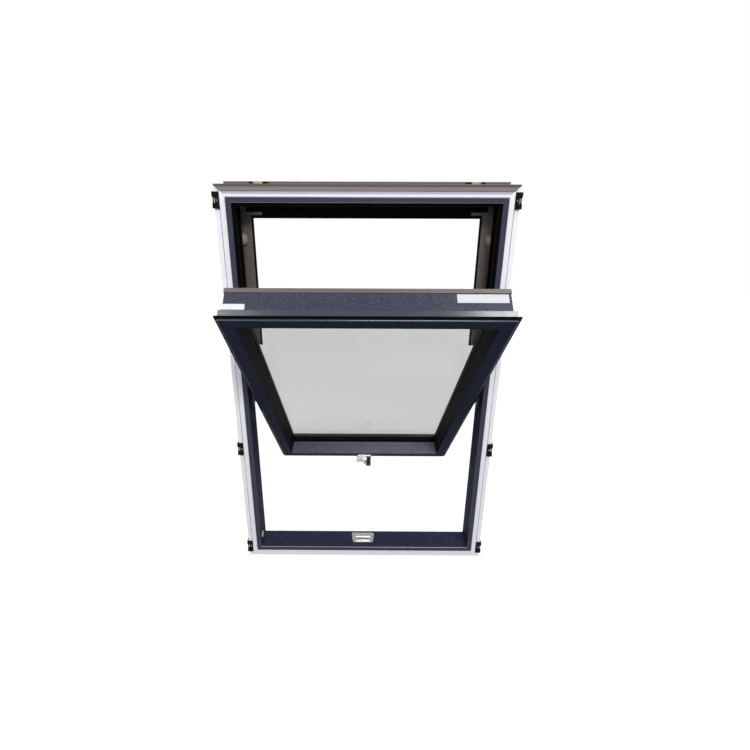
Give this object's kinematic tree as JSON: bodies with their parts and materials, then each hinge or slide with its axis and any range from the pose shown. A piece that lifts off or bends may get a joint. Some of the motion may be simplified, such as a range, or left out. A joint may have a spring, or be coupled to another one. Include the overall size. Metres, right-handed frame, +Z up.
{
  "type": "roof window",
  "caption": "Centre-pivot PVC roof window held open, insulating glass in a swinging sash, aluminium covers outside, lever handle and latch at the bottom rail, frame to screw to the rafters",
  "frame": {"origin": "middle of the rectangle of corner fixing holes, halfway through the thickness of the frame's fin", "axes": "X across the window to the right seen from the room, Y from the room out to the weather, Z up the slope"},
  "size_m": [0.788, 0.7663, 1.185],
  "materials": {
    "foiled_pvc": "PVC with a fine-grained anthracite foil on the visible faces, white beneath",
    "steel": "galvanised steel",
    "yellow_zinc": "steel, zinc plated and yellow passivated",
    "rubber": "black EPDM, matt",
    "cladding": "powder-coated aluminium sheet, umbra grey",
    "trim": "powder-coated aluminium strip, lighter umbra grey",
    "black_plastic": "moulded nylon, matt",
    "cap_plastic": "moulded nylon in the colour of the covers",
    "die_cast": "die-cast zinc, satin silver lacquer",
    "grey_plastic": "moulded acetal",
    "white_plastic": "moulded acetal",
    "silver": "satin anodised",
    "spacer": "black warm-edge spacer",
    "glass": "clear float glass"
  },
  "bodies": {
    "frame": {"frame_head": "foiled_pvc", "frame_sill": "foiled_pvc", "frame_jamb_left": "foiled_pvc", "frame_jamb_right": "foiled_pvc", "frame_steel_head": "steel", "frame_steel_sill": "steel", "frame_steel_left": "steel", "frame_steel_right": "steel", "rebate_seal": "rubber", "lip_seal": "rubber", "head_hood": "cladding", "head_trim": "trim", "upper_cover_left": "cladding", "upper_cover_right": "cladding", "lower_cover_left": "cladding", "lower_cover_right": "cladding", "sill_cover": "cladding", "bracket_shoes_left": "black_plastic", "bracket_shoes_right": "black_plastic", "bracket_shoes_head": "black_plastic", "head_clips": "yellow_zinc", "cover_caps": "cap_plastic", "striker": "die_cast", "pivot_plate_left": "die_cast", "pivot_plate_right": "die_cast", "frame_screws": "steel", "bolt_bush": "grey_plastic"},
    "sash": {"sash_top_rail": "foiled_pvc", "sash_bottom_rail": "foiled_pvc", "sash_stile_left": "foiled_pvc", "sash_stile_right": "foiled_pvc", "sash_steel_top_rail": "steel", "sash_steel_bottom_rail": "steel", "sash_steel_stile_left": "steel", "sash_steel_stile_right": "steel", "inner_pane": "glass", "outer_pane": "glass", "glass_spacer": "spacer", "edge_seal": "rubber", "glazing_gasket": "rubber", "cover_gasket": "rubber", "sash_seal": "rubber", "sash_cover_top": "cladding", "sash_cover_bottom": "cladding", "sash_cover_left": "cladding", "sash_cover_right": "cladding", "bearing_plate_left": "die_cast", "bearing_plate_right": "die_cast", "sash_screws": "steel", "handle_base": "silver", "latch_case": "die_cast", "bolt_plate": "white_plastic"},
    "handle": {"handle_lever": "silver"},
    "latch": {"latch_tongue": "steel"},
    "bolt": {"cleaning_bolt": "white_plastic"}
  },
  "joints": [
    {"name": "sash_swing", "type": "hinge", "parent": "frame", "child": "sash", "pos_m": [0, 0.046, 0], "axis": [1, 0, 0], "range_deg": [-43.4, 101.6]},
    {"name": "handle_turn", "type": "hinge", "parent": "sash", "child": "handle", "pos_m": [0.018, 0.34456, -0.40886], "axis": [0, 0.7266, 0.6871], "range_deg": [0, 90]},
    {"name": "latch_slide", "type": "slide", "parent": "sash", "child": "latch", "axis": [0, 0.6871, -0.7266], "range_m": [0, 0.012]},
    {"name": "bolt_slide", "type": "slide", "parent": "sash", "child": "bolt", "axis": [-1, 0, 0], "range_m": [0, 0.018]}
  ],
  "couplings": [
    {"joint": "latch_slide", "follows": "handle_turn", "m_per_rad": 0.0076394}
  ]
}
